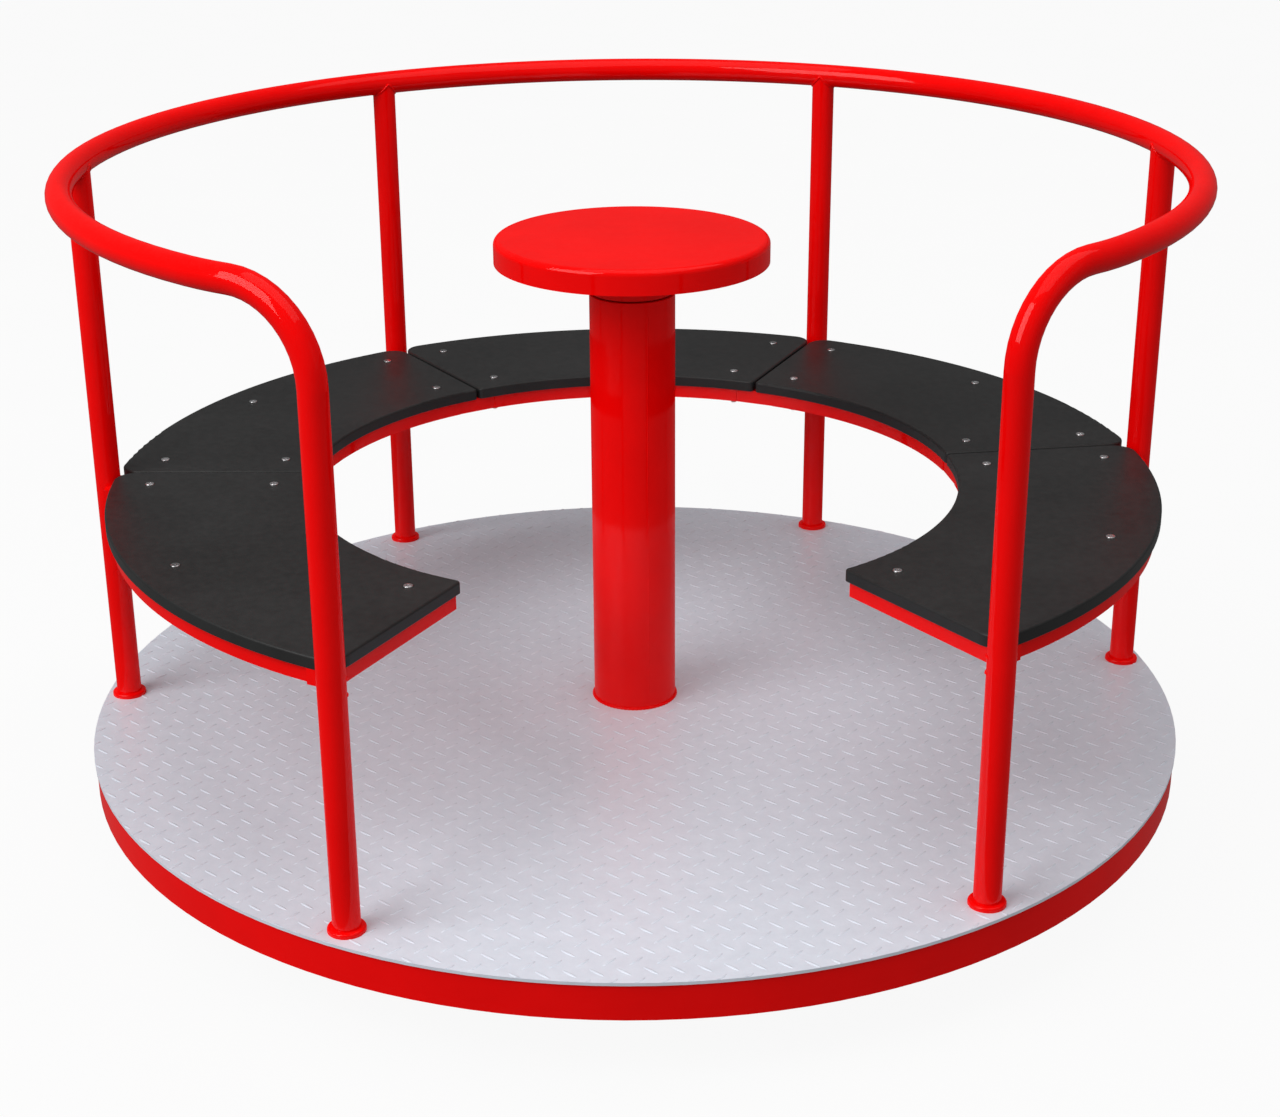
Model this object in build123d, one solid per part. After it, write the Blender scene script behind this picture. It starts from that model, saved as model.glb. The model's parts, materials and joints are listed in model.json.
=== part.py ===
from build123d import *
import math
import os

# A playground merry-go-round. A platform with seats, posts and a handrail turns on two ball bearings
# about a fixed spindle, which carries the round hand disc at its top.
# Millimetres. The origin is on the ground, on the axis of rotation. +Z is up and the entrance faces -Y.

# Platform
platform_diameter = 1500
ground_gap = 80
rim_height = 46
rim_thickness = 5
deck_thickness = 4
deck_overhang = 2
joist_height = 40
joist_width = 30
joist_wall = 2.5
cross_member_radius = 430
hub_plate_diameter = 300
hub_plate_thickness = 8

# Handrail and posts
tube_diameter = 33.7
tube_wall = 2.6
rail_height = 757
post_inset = 30
front_leg_inset = 34
leg_bend_radius = 105
rail_end_radius = 350
front_bay_angle = 63
collar_width = 6.15
collar_height = 6
collar_round = 3

# Seats
seat_height = 334
seat_post_distance = 15
seat_depth = 265
panel_thickness = 16
panel_gap = 4
panel_outer_corner = 28
panel_inner_corner = 6
panel_top_round = 3
panel_bottom_round = 1.5
seat_bar_width = 60
seat_bar_height = 20
seat_bar_wall = 2
seat_bar_set_in = 6
end_arm_width = 36
end_arm_set_in = 5
end_arm_leg_reach = 4

# Seat fasteners, M8
screw_diameter = 8
screw_head_diameter = 12
screw_head_depth = 2.5
screw_past_nut = 7.5
screw_hole_clearance = 0.5
outer_screw_set_in = 14
inner_screw_set_in = 20
screw_arm_distance = 7
nut_width = 13
nut_height = 6.5

# Column and bearings, each 55 x 100 x 21. The housings fill what is between bearing and column.
housing_wall = 2.65
column_wall = 4.5
column_height = 584
deck_hole_clearance = 0.5
bearing_bore = 55
bearing_outside = 100
bearing_width = 21
ball_seat_depth = 2.85
ball_count = 10
ball_clearance = 0.3
race_wall = 7
housing_shoulder_height = 8
housing_shoulder_width = 6
housing_skirt = 14
ring_thickness = 2
ring_width = 6
ring_groove_depth = 1.4
seal_height = 8
seal_width = 6
seal_clearance = 0.3
upper_bearing_drop = 54

# Spindle, its nuts and the ground flange
anchor_edge_distance = 30
flange_thickness = 12
anchor_circle_diameter = 300
anchor_hole_diameter = 18
anchor_count = 6
gusset_thickness = 8
gusset_height = 48
gusset_toe = 8
gusset_edge_distance = 8
base_step = 5.5
thread_step = 2.5
neck_step = 3
top_step = 4
lock_washer_thickness = 1.5
lock_nut_wall = 10
lock_nut_height = 10.5
neck_nut_wall = 9.5
neck_nut_height = 18
neck_washer_width = 15
neck_washer_thickness = 3
thread_past_nut = 3

# Hand disc and the neck that carries it
neck_rise = 76
disc_diameter = 364
disc_thickness = 4
disc_skirt = 32
disc_edge_round = 8
neck_set_in = 3.15
neck_wall = 8
neck_gap = 2
neck_plate_thickness = 12
carrier_edge_distance = 25
carrier_thickness = 8
stud_neck_distance = 21
stud_diameter = 8
stud_length = 24
stud_hole_clearance = 0.5
stud_count = 6

# Levels and radii that follow
deck_top = ground_gap + rim_height + deck_thickness
deck_bottom = deck_top - deck_thickness
platform_radius = platform_diameter / 2
rim_outer_radius = platform_radius - deck_overhang
rim_inner_radius = rim_outer_radius - rim_thickness
joist_bottom = deck_bottom - joist_height
hub_bottom = joist_bottom - hub_plate_thickness
tube_radius = tube_diameter / 2
rail_radius = platform_radius - post_inset
front_leg_radius = platform_radius - front_leg_inset
rail_level = deck_top + rail_height
panel_top = deck_top + seat_height
panel_bottom = panel_top - panel_thickness
bar_bottom = panel_bottom - seat_bar_height
seat_outer_radius = rail_radius - seat_post_distance
seat_inner_radius = seat_outer_radius - seat_depth
bar_outer_radius = seat_outer_radius - seat_bar_set_in
bar_inner_radius = seat_inner_radius + seat_bar_set_in
screw_outer_radius = bar_outer_radius - seat_bar_width + outer_screw_set_in
screw_inner_radius = bar_inner_radius + seat_bar_width - inner_screw_set_in
screw_joint_distance = panel_gap / 2 + end_arm_set_in + end_arm_width + screw_arm_distance
screw_length = panel_thickness + seat_bar_height + nut_height + screw_past_nut
bearing_radius = bearing_outside / 2
seat_radius = bearing_bore / 2
ball_diameter = bearing_radius - seat_radius - 2 * (race_wall - ball_seat_depth)
ball_pitch_radius = (seat_radius + bearing_radius) / 2
column_inside_radius = bearing_radius + housing_wall
column_radius = column_inside_radius + column_wall
column_top = deck_top + column_height
base_radius = seat_radius + base_step
thread_radius = seat_radius - thread_step
neck_radius = thread_radius - neck_step
top_radius = neck_radius - top_step
flange_radius = anchor_circle_diameter / 2 + anchor_edge_distance
lower_bearing_bottom = hub_bottom + housing_skirt
upper_bearing_bottom = column_top - upper_bearing_drop
neck_bottom = column_top + neck_gap
disc_top = column_top + neck_rise
carrier_top = disc_top - disc_thickness
carrier_bottom = carrier_top - carrier_thickness
neck_outer_radius = column_radius - neck_set_in
stud_circle_radius = neck_outer_radius + stud_neck_distance
carrier_radius = stud_circle_radius + carrier_edge_distance

# Posts stand at these angles from the entrance, and the three bays at the back share what the
# entrance and the two bays beside it leave.
back_bay_angle = (360 - 3 * front_bay_angle) / 3
post_angles = [front_bay_angle / 2 - front_bay_angle * 2 - back_bay_angle]
for bay_angle in (back_bay_angle, front_bay_angle, front_bay_angle, front_bay_angle, back_bay_angle):
    post_angles.append(post_angles[-1] + bay_angle)
back_left, left, front_left, front_right, right, back_right = post_angles
seat_bays = [
    (front_right, right),
    (right, back_right),
    (back_right, back_left + 360),
    (back_left, left),
    (left, front_left),
]


def spoke(angle):
    """The turn that takes local +X to the direction at an angle from the entrance."""
    return Rot(0, 0, angle - 90)


def ring(inner_radius, outer_radius, bottom, top):
    """A flat ring about the axis of rotation."""
    face = Circle(outer_radius) - Circle(inner_radius)
    return Pos(0, 0, bottom) * extrude(face, top - bottom)


def disc(radius, bottom, top):
    """A solid cylinder about the axis of rotation."""
    return Pos(0, 0, bottom) * extrude(Circle(radius), top - bottom)


def turned(points):
    """A solid turned from a closed outline of (radius, level) points."""
    outline = make_face(Polyline([(radius, 0, level) for radius, level in points], close=True))
    return revolve(outline, Axis.Z)


def radial_box(start, end, width, bottom, top, side=0):
    """A block along local +X, shifted sideways by side."""
    block = Box(end - start, width, top - bottom, align=(Align.MIN, Align.CENTER, Align.MIN))
    return Pos(start, side, bottom) * block


def bay_wedge(start, end, gap):
    """The plan of one bay, its sides parallel to the lines through the posts and half a gap inside."""
    half = math.radians((end - start) / 2)
    apex = gap / 2 / math.sin(half)
    reach = platform_diameter
    corners = [
        (apex, 0),
        (apex + reach * math.cos(half), -reach * math.sin(half)),
        (apex + reach * 2, 0),
        (apex + reach * math.cos(half), reach * math.sin(half)),
    ]
    return Rot(0, 0, (start + end) / 2 - 90) * make_face(Polyline(corners, close=True))


def hexagon_nut(width, bore, bottom, top):
    """A plain hexagon nut about the local axis."""
    face = RegularPolygon(width / 2, 6, major_radius=False) - Circle(bore / 2)
    return Pos(0, 0, bottom) * extrude(face, top - bottom)


def group(solids):
    """Several separate solids kept as one node."""
    return Compound([solid for item in solids for solid in item.solids()])


def ground_flange():
    """Round plate that is anchored to the foundation, bored for the spindle."""
    plate = ring(base_radius, flange_radius, 0, flange_thickness)
    drill = Cylinder(anchor_hole_diameter / 2, flange_thickness * 3)
    for place in PolarLocations(anchor_circle_diameter / 2, anchor_count, 180 / anchor_count):
        plate -= place * drill
    return plate


def base_gussets():
    """Ribs between the flange and the foot of the spindle, between the anchor holes."""
    root = base_radius
    tip = flange_radius - gusset_edge_distance
    top = flange_thickness + gusset_height
    outline = Polyline(
        (root, 0, flange_thickness),
        (tip, 0, flange_thickness),
        (tip, 0, flange_thickness + gusset_toe),
        (root + gusset_toe, 0, top),
        (root, 0, top),
        close=True,
    )
    rib = extrude(make_face(outline), gusset_thickness / 2, both=True)
    rib -= disc(root, 0, top * 2)
    return group([Rot(0, 0, 360 / anchor_count * index) * rib for index in range(anchor_count)])


def spindle():
    """Fixed shaft, stepped for the bearings, their lock nut and the neck."""
    upper_bearing_top = upper_bearing_bottom + bearing_width
    thread_top = upper_bearing_top + lock_washer_thickness + lock_nut_height
    nut_top = neck_bottom + neck_plate_thickness + neck_washer_thickness + neck_nut_height
    steps = [
        (base_radius, lower_bearing_bottom),
        (seat_radius, upper_bearing_top),
        (thread_radius, thread_top),
        (neck_radius, neck_bottom),
        (top_radius, nut_top + thread_past_nut),
    ]
    points = [(0, 0)]
    level = 0
    for radius, top in steps:
        points += [(radius, level), (radius, top)]
        level = top
    points.append((0, level))
    return turned(points)


def ball_groove(bottom):
    """The ring-shaped space that the balls of one bearing run in."""
    groove = Torus(ball_pitch_radius, ball_diameter / 2 + ball_clearance)
    return Pos(0, 0, bottom + bearing_width / 2) * groove


def inner_race(bottom):
    """Inner ring of one bearing, grooved for the balls."""
    race = ring(seat_radius, seat_radius + race_wall, bottom, bottom + bearing_width)
    return race - ball_groove(bottom)


def outer_race(bottom):
    """Outer ring of one bearing, grooved for the balls."""
    race = ring(bearing_radius - race_wall, bearing_radius, bottom, bottom + bearing_width)
    return race - ball_groove(bottom)


def bearing_balls(bottom):
    """The balls of one bearing."""
    places = PolarLocations(ball_pitch_radius, ball_count)
    balls = [place * Sphere(ball_diameter / 2) for place in places]
    return Pos(0, 0, bottom + bearing_width / 2) * group(balls)


def bearing_spacer():
    """Sleeve that keeps the inner rings of the two bearings apart."""
    bottom = lower_bearing_bottom + bearing_width
    return ring(seat_radius, seat_radius + race_wall, bottom, upper_bearing_bottom)


def lower_bearing_housing():
    """Bored ring in the foot of the column. Its shoulder rests on the lower bearing."""
    bearing_top = lower_bearing_bottom + bearing_width
    body = ring(bearing_radius, column_inside_radius, hub_bottom, bearing_top + housing_shoulder_height)
    shoulder = ring(
        bearing_radius - housing_shoulder_width,
        column_inside_radius,
        bearing_top,
        bearing_top + housing_shoulder_height,
    )
    groove_bottom = lower_bearing_bottom - ring_thickness
    groove = disc(bearing_radius + ring_groove_depth, groove_bottom, lower_bearing_bottom)
    return body + shoulder - groove


def upper_bearing_housing():
    """Bored ring in the head of the column. Its shoulder is under the upper bearing."""
    bearing_top = upper_bearing_bottom + bearing_width
    bottom = upper_bearing_bottom - housing_shoulder_height
    body = ring(bearing_radius, column_inside_radius, bottom, bearing_top + housing_skirt)
    shoulder_radius = bearing_radius - housing_shoulder_width
    shoulder = ring(shoulder_radius, column_inside_radius, bottom, upper_bearing_bottom)
    groove = disc(bearing_radius + ring_groove_depth, bearing_top, bearing_top + ring_thickness)
    return body + shoulder - groove


def retaining_ring(bottom):
    """Split spring ring that keeps a bearing in its housing."""
    outer_radius = bearing_radius + ring_groove_depth
    slit = radial_box(0, outer_radius * 2, ring_width, bottom - ring_thickness, bottom + ring_thickness * 2)
    return ring(outer_radius - ring_width, outer_radius, bottom, bottom + ring_thickness) - slit


def column_cap_parts():
    """Steel cap inside the head of the column, and the rubber seal in its bore."""
    bottom = column_top - seal_height
    top = column_top - neck_gap
    bore = neck_radius + seal_clearance
    seal = ring(bore, bore + seal_width, bottom, top)
    cap = ring(bore + seal_width, column_inside_radius, bottom, top)
    return cap, seal


def neck_hub():
    """Fixed neck on the end of the spindle, with the flange that carries the hand disc."""
    outside = neck_outer_radius
    inside = outside - neck_wall
    bore = top_radius
    plate_top = neck_bottom + neck_plate_thickness
    hub = turned([
        (bore, neck_bottom),
        (outside, neck_bottom),
        (outside, carrier_bottom),
        (carrier_radius, carrier_bottom),
        (carrier_radius, carrier_top),
        (inside, carrier_top),
        (inside, plate_top),
        (bore, plate_top),
    ])
    drill = Cylinder(stud_diameter / 2 + stud_hole_clearance, carrier_thickness * 3)
    drill = Pos(0, 0, carrier_top) * drill
    for place in PolarLocations(stud_circle_radius, stud_count):
        hub -= place * drill
    return hub


def hand_disc():
    """Pressed steel disc with a turned-down skirt and a rounded edge."""
    blank = disc(disc_diameter / 2, disc_top - disc_skirt, disc_top)
    blank = fillet(blank.faces().sort_by(Axis.Z)[-1].edges(), disc_edge_round)
    hollow = disc(disc_diameter / 2 - disc_thickness, disc_top - disc_skirt, disc_top - disc_thickness)
    hollow = fillet(hollow.faces().sort_by(Axis.Z)[-1].edges(), disc_edge_round - disc_thickness)
    return blank - hollow


def disc_studs():
    """Studs welded under the hand disc, which pass through the carrier flange."""
    places = PolarLocations(stud_circle_radius, stud_count)
    stud = Pos(0, 0, carrier_top - stud_length) * extrude(Circle(stud_diameter / 2), stud_length)
    return group([place * stud for place in places])


def disc_nuts():
    """Nuts that hold the hand disc down on the carrier flange."""
    places = PolarLocations(stud_circle_radius, stud_count)
    nut = hexagon_nut(nut_width, stud_diameter, carrier_bottom - nut_height, carrier_bottom)
    return group([place * nut for place in places])


def deck_joists():
    """Rectangular tubes from the column to the rim, one under each post."""
    tube = radial_box(0, rim_inner_radius + rim_thickness, joist_width, joist_bottom, deck_bottom)
    inside = radial_box(
        0,
        platform_radius,
        joist_width - joist_wall * 2,
        joist_bottom + joist_wall,
        deck_bottom - joist_wall,
    )
    span = ring(column_radius, rim_inner_radius, joist_bottom, deck_bottom)
    joist = (tube - inside) & span
    return group([spoke(angle) * joist for angle in post_angles])


def deck_cross_members():
    """Straight tubes between the joists, part way out."""
    tube = radial_box(
        cross_member_radius - joist_width / 2,
        cross_member_radius + joist_width / 2,
        platform_diameter,
        joist_bottom,
        deck_bottom,
    )
    inside = radial_box(
        cross_member_radius - joist_width / 2 + joist_wall,
        cross_member_radius + joist_width / 2 - joist_wall,
        platform_diameter * 2,
        joist_bottom + joist_wall,
        deck_bottom - joist_wall,
    )
    members = []
    for start, end in seat_bays + [(front_left, front_right)]:
        member = spoke((start + end) / 2) * (tube - inside)
        wedge = Pos(0, 0, joist_bottom) * extrude(bay_wedge(start, end, joist_width), joist_height)
        members.append(member & wedge)
    return group(members)


def deck_plate():
    """Round tread plate, bored for the column."""
    return ring(column_radius + deck_hole_clearance, platform_radius, deck_bottom, deck_top)


def rail_end():
    """Where the ring's last, tighter bend starts and how far it turns, so that the legs' feet land
    at their own radius. Both are angles, the first from the entrance."""
    offset = rail_radius - rail_end_radius
    cosine = (front_leg_radius ** 2 + offset ** 2 - rail_end_radius ** 2 - leg_bend_radius ** 2) / (
        2 * front_leg_radius * offset
    )
    swing = math.acos(cosine)
    across = front_leg_radius * math.sin(swing)
    along = front_leg_radius * math.cos(swing) - offset
    turn = math.atan2(across, along) - math.atan2(leg_bend_radius, rail_end_radius)
    return front_right + math.degrees(swing), math.degrees(turn)


def rail_path(start_level):
    """Centre line of the handrail, from the foot of one front leg round the back to the other."""
    ring_start, turn = rail_end()
    half = math.radians(ring_start)
    sides = []
    for side in (1, -1):
        ring_point = Vector(side * rail_radius * math.sin(half), -rail_radius * math.cos(half), rail_level)
        offset = rail_radius - rail_end_radius
        centre = Vector(side * offset * math.sin(half), -offset * math.cos(half), rail_level)
        angles = [half - math.radians(turn) * part for part in (0.5, 1)]
        middle, end = [
            centre + Vector(side * rail_end_radius * math.sin(angle), -rail_end_radius * math.cos(angle), 0)
            for angle in angles
        ]
        ahead = Vector(-side * math.cos(angles[1]), -math.sin(angles[1]), 0)
        knee = end + ahead * leg_bend_radius + Vector(0, 0, -leg_bend_radius)
        slant = math.sqrt(0.5) * leg_bend_radius
        bend_middle = end + ahead * slant + Vector(0, 0, slant - leg_bend_radius)
        foot = Vector(knee.X, knee.Y, start_level)
        sides.append((ring_point, middle, end, bend_middle, knee, foot))
    right_side, left_side = sides
    edges = [Edge.make_line(right_side[5], right_side[4])]
    edges.append(Edge.make_three_point_arc(right_side[4], right_side[3], right_side[2]))
    edges.append(Edge.make_three_point_arc(right_side[2], right_side[1], right_side[0]))
    back = Vector(0, rail_radius, rail_level)
    edges.append(Edge.make_three_point_arc(right_side[0], back, left_side[0]))
    edges.append(Edge.make_three_point_arc(left_side[0], left_side[1], left_side[2]))
    edges.append(Edge.make_three_point_arc(left_side[2], left_side[3], left_side[4]))
    edges.append(Edge.make_line(left_side[4], left_side[5]))
    return Wire(edges)


def handrail():
    """One bent tube: the two legs at the entrance and the ring between them."""
    path = rail_path(deck_top)
    foot = Plane(path @ 0, z_dir=(0, 0, 1))
    return sweep(foot * (Circle(tube_radius) - Circle(tube_radius - tube_wall)), path=path)


def post(angle):
    """Upright tube from the deck, its top fitted to the underside of the handrail."""
    face = Circle(tube_radius) - Circle(tube_radius - tube_wall)
    tube = Pos(rail_radius, 0, deck_top) * extrude(face, rail_height)
    tube -= Pos(0, 0, rail_level) * Torus(rail_radius, tube_radius)
    return spoke(angle) * tube.solids().sort_by(Axis.Z)[0]


def foot_radius(angle):
    """Distance of a foot from the axis: the front legs stand a little further in."""
    if angle in (front_left, front_right):
        return front_leg_radius
    return rail_radius


def foot_collars():
    """Small round collars where the legs and posts stand on the deck."""
    collar = extrude(Circle(tube_radius + collar_width) - Circle(tube_radius), collar_height)
    rim = collar.edges().filter_by(GeomType.CIRCLE).group_by(Axis.Z)[-1].sort_by(SortBy.RADIUS)[-1]
    collar = Pos(0, 0, deck_top) * fillet(rim, collar_round)
    return group([spoke(angle) * Pos(foot_radius(angle), 0, 0) * collar for angle in post_angles])


def arm_side(angle):
    """Sideways place of an arm: the end arms lie just inside the ends of the seats."""
    inwards = panel_gap / 2 + end_arm_set_in + end_arm_width / 2
    if angle == front_right:
        return inwards
    if angle == front_left:
        return -inwards
    return 0


def arm_width(angle):
    """Width of an arm: those under the panel joints are as wide as the seat bars."""
    if angle in (front_left, front_right):
        return end_arm_width
    return seat_bar_width


def seat_arm(angle):
    """Radial tube under the seats, closed at its inner end and fitted to its post. The end arms lie
    against the side of their legs, so they are closed at both ends."""
    width = arm_width(angle)
    side = arm_side(angle)
    foot = foot_radius(angle)
    outer_end = foot if side == 0 else foot - tube_radius + end_arm_leg_reach
    outer_end = max(outer_end, bar_outer_radius)
    inside_end = outer_end * 2 if side == 0 else outer_end - seat_bar_wall
    arm = radial_box(bar_inner_radius, outer_end, width, bar_bottom, panel_bottom, side)
    inside = radial_box(
        bar_inner_radius + seat_bar_wall,
        inside_end,
        width - seat_bar_wall * 2,
        bar_bottom + seat_bar_wall,
        panel_bottom - seat_bar_wall,
        side,
    )
    tube = Pos(foot, 0, bar_bottom) * extrude(Circle(tube_radius), seat_bar_height)
    arm = arm - inside - tube
    return spoke(angle) * arm.solids().sort_by(SortBy.VOLUME)[-1]


def screw_places(bay):
    """Plan positions of the screws of one seat panel: three outside and two inside."""
    start, end = bay
    outer_turn = math.degrees(math.asin(screw_joint_distance / screw_outer_radius))
    inner_turn = math.degrees(math.asin(screw_joint_distance / screw_inner_radius))
    return [
        (screw_outer_radius, start + outer_turn),
        (screw_outer_radius, (start + end) / 2),
        (screw_outer_radius, end - outer_turn),
        (screw_inner_radius, start + inner_turn),
        (screw_inner_radius, end - inner_turn),
    ]


def at_screws(bay, shape):
    """Copies of a shape at the screws of one seat panel."""
    return [spoke(angle) * Pos(radius, 0, 0) * shape for radius, angle in screw_places(bay)]


def seat_bar(bay, inner_radius):
    """Curved tube under a seat panel, between two arms, drilled for the screws."""
    start, end = bay
    outer_radius = inner_radius + seat_bar_width
    wall = seat_bar_wall
    body = ring(inner_radius, outer_radius, bar_bottom, panel_bottom)
    body -= ring(inner_radius + wall, outer_radius - wall, bar_bottom + wall, panel_bottom - wall)
    body &= Pos(0, 0, bar_bottom) * extrude(bay_wedge(start, end, 0), seat_bar_height)
    for angle in bay:
        block = radial_box(0, platform_radius, arm_width(angle), bar_bottom, panel_bottom, arm_side(angle))
        body -= spoke(angle) * block
    hole = Cylinder(screw_diameter / 2 + screw_hole_clearance, platform_diameter)
    for drill in at_screws(bay, hole):
        body -= drill
    middle = Vector(inner_radius + seat_bar_width / 2, 0, bar_bottom).rotate(Axis.Z, (start + end) / 2 - 90)
    return body.solids().sort_by_distance(middle)[0]


def seat_panel(bay):
    """Flat panel between two posts, its outer corners rounded to clear them."""
    start, end = bay
    plan = (Circle(seat_outer_radius) - Circle(seat_inner_radius)) & bay_wedge(start, end, panel_gap)
    corners = plan.vertices().sort_by(lambda vertex: math.hypot(vertex.X, vertex.Y))
    plan = fillet(corners[:2], panel_inner_corner)
    corners = plan.vertices().sort_by(lambda vertex: math.hypot(vertex.X, vertex.Y))
    plan = fillet(corners[-2:], panel_outer_corner)
    panel = Pos(0, 0, panel_bottom) * extrude(plan, panel_thickness)
    panel = fillet(panel.faces().sort_by(Axis.Z)[-1].edges(), panel_top_round)
    panel = fillet(panel.faces().sort_by(Axis.Z)[0].edges(), panel_bottom_round)
    shank = Cylinder(screw_diameter / 2 + screw_hole_clearance, platform_diameter)
    seat = Pos(0, 0, panel_top - screw_head_depth) * Cylinder(
        screw_head_diameter / 2 + screw_hole_clearance,
        screw_head_depth,
        align=(Align.CENTER, Align.CENTER, Align.MIN),
    )
    for drill in at_screws(bay, shank) + at_screws(bay, seat):
        panel -= drill
    return panel


def seat_screws():
    """Flush-headed screws through the panels and the seat bars."""
    head = extrude(Circle(screw_head_diameter / 2), screw_head_depth)
    head = Pos(0, 0, panel_top - screw_head_depth) * head
    shank_length = screw_length - screw_head_depth
    shank = Pos(0, 0, panel_top - screw_length) * extrude(Circle(screw_diameter / 2), shank_length)
    screw = head + shank
    return group([copy for bay in seat_bays for copy in at_screws(bay, screw)])


def seat_nuts():
    """Nuts on the screws, under the seat bars."""
    nut = hexagon_nut(nut_width, screw_diameter, bar_bottom - nut_height, bar_bottom)
    return group([copy for bay in seat_bays for copy in at_screws(bay, nut)])


upper_bearing_top = upper_bearing_bottom + bearing_width
lock_nut_bottom = upper_bearing_top + lock_washer_thickness
neck_plate_top = neck_bottom + neck_plate_thickness
neck_nut_bottom = neck_plate_top + neck_washer_thickness
column_cap, upper_seal = column_cap_parts()

nodes = {
    "ground_flange": ground_flange(),
    "base_gussets": base_gussets(),
    "spindle": spindle(),
    "lower_inner_race": inner_race(lower_bearing_bottom),
    "upper_inner_race": inner_race(upper_bearing_bottom),
    "bearing_spacer": bearing_spacer(),
    "bearing_lock_washer": ring(thread_radius, seat_radius + race_wall, upper_bearing_top, lock_nut_bottom),
    "bearing_lock_nut": ring(
        thread_radius,
        thread_radius + lock_nut_wall,
        lock_nut_bottom,
        lock_nut_bottom + lock_nut_height,
    ),
    "neck_hub": neck_hub(),
    "neck_washer": ring(top_radius, top_radius + neck_washer_width, neck_plate_top, neck_nut_bottom),
    "neck_nut": hexagon_nut(
        (top_radius + neck_nut_wall) * 2,
        top_radius * 2,
        neck_nut_bottom,
        neck_nut_bottom + neck_nut_height,
    ),
    "hand_disc": hand_disc(),
    "disc_studs": disc_studs(),
    "disc_nuts": disc_nuts(),
    "column_tube": ring(column_inside_radius, column_radius, hub_bottom, column_top),
    "column_cap": column_cap,
    "upper_seal": upper_seal,
    "lower_seal": ring(base_radius + seal_clearance, bearing_radius, hub_bottom, hub_bottom + seal_height),
    "lower_bearing_housing": lower_bearing_housing(),
    "upper_bearing_housing": upper_bearing_housing(),
    "lower_outer_race": outer_race(lower_bearing_bottom),
    "upper_outer_race": outer_race(upper_bearing_bottom),
    "lower_balls": bearing_balls(lower_bearing_bottom),
    "upper_balls": bearing_balls(upper_bearing_bottom),
    "retaining_rings": group([
        retaining_ring(lower_bearing_bottom - ring_thickness),
        retaining_ring(upper_bearing_top),
    ]),
    "hub_plate": ring(column_radius, hub_plate_diameter / 2, hub_bottom, joist_bottom),
    "deck_joists": deck_joists(),
    "deck_cross_members": deck_cross_members(),
    "rim_band": ring(rim_inner_radius, rim_outer_radius, ground_gap, deck_bottom),
    "deck_plate": deck_plate(),
    "handrail": handrail(),
    "foot_collars": foot_collars(),
    "seat_screws": seat_screws(),
    "seat_nuts": seat_nuts(),
}
for name, angle in (("right", right), ("back_right", back_right), ("back_left", back_left), ("left", left)):
    nodes["post_" + name] = post(angle)
for number, angle in enumerate((front_right, right, back_right, back_left, left, front_left), 1):
    nodes[f"seat_arm_{number}"] = seat_arm(angle)
for number, bay in enumerate(seat_bays, 1):
    nodes[f"seat_outer_bar_{number}"] = seat_bar(bay, bar_outer_radius - seat_bar_width)
    nodes[f"seat_inner_bar_{number}"] = seat_bar(bay, bar_inner_radius)
    nodes[f"seat_panel_{number}"] = seat_panel(bay)

os.makedirs("parts", exist_ok=True)
for node_name, shape in nodes.items():
    export_step(shape, f"parts/{node_name}.step")
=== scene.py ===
import bpy
import json
import math
import numpy as np
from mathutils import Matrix, Quaternion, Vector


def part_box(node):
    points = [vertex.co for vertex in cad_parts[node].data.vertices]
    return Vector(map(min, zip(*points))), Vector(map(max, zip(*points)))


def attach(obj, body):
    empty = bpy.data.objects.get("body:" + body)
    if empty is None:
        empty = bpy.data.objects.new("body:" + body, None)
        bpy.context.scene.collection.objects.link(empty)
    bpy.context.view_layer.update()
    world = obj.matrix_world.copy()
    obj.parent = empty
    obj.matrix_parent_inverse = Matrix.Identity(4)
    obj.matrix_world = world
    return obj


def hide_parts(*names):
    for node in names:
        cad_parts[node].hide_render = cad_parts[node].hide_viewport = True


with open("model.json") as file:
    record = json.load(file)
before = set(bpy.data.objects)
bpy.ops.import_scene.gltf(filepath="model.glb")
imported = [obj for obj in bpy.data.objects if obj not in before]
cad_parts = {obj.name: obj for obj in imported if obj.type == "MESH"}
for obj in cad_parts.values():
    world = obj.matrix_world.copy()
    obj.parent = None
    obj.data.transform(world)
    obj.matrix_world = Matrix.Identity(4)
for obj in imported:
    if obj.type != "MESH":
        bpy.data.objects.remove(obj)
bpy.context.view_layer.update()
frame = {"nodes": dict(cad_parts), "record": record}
print("frame loaded:", len(frame["nodes"]), "nodes")

# sizes read off the frame, in metres
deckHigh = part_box("deck_plate")[1]
deckTop = deckHigh.z
deckRadius = deckHigh.x
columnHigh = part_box("column_tube")[1]
columnRadius = columnHigh.x
postLow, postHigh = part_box("post_right")
tubeRadius = (postHigh.y - postLow.y) / 2
railRadius = math.hypot((postHigh.x + postLow.x) / 2, (postHigh.y + postLow.y) / 2)
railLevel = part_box("handrail")[1].z - tubeRadius
panelLow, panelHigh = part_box("seat_panel_3")
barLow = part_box("seat_inner_bar_3")[0]
tiny = 0.0001


# helpers

def deselectAll():
    if bpy.context.object and bpy.context.object.mode != "OBJECT":
        bpy.ops.object.mode_set(mode="OBJECT")
    bpy.ops.object.select_all(action="DESELECT")


def pickOnly(obj):
    deselectAll()
    obj.select_set(True)
    bpy.context.view_layer.objects.active = obj


def editFresh(obj):
    pickOnly(obj)
    bpy.ops.object.mode_set(mode="EDIT")
    bpy.ops.mesh.select_all(action="DESELECT")


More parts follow.
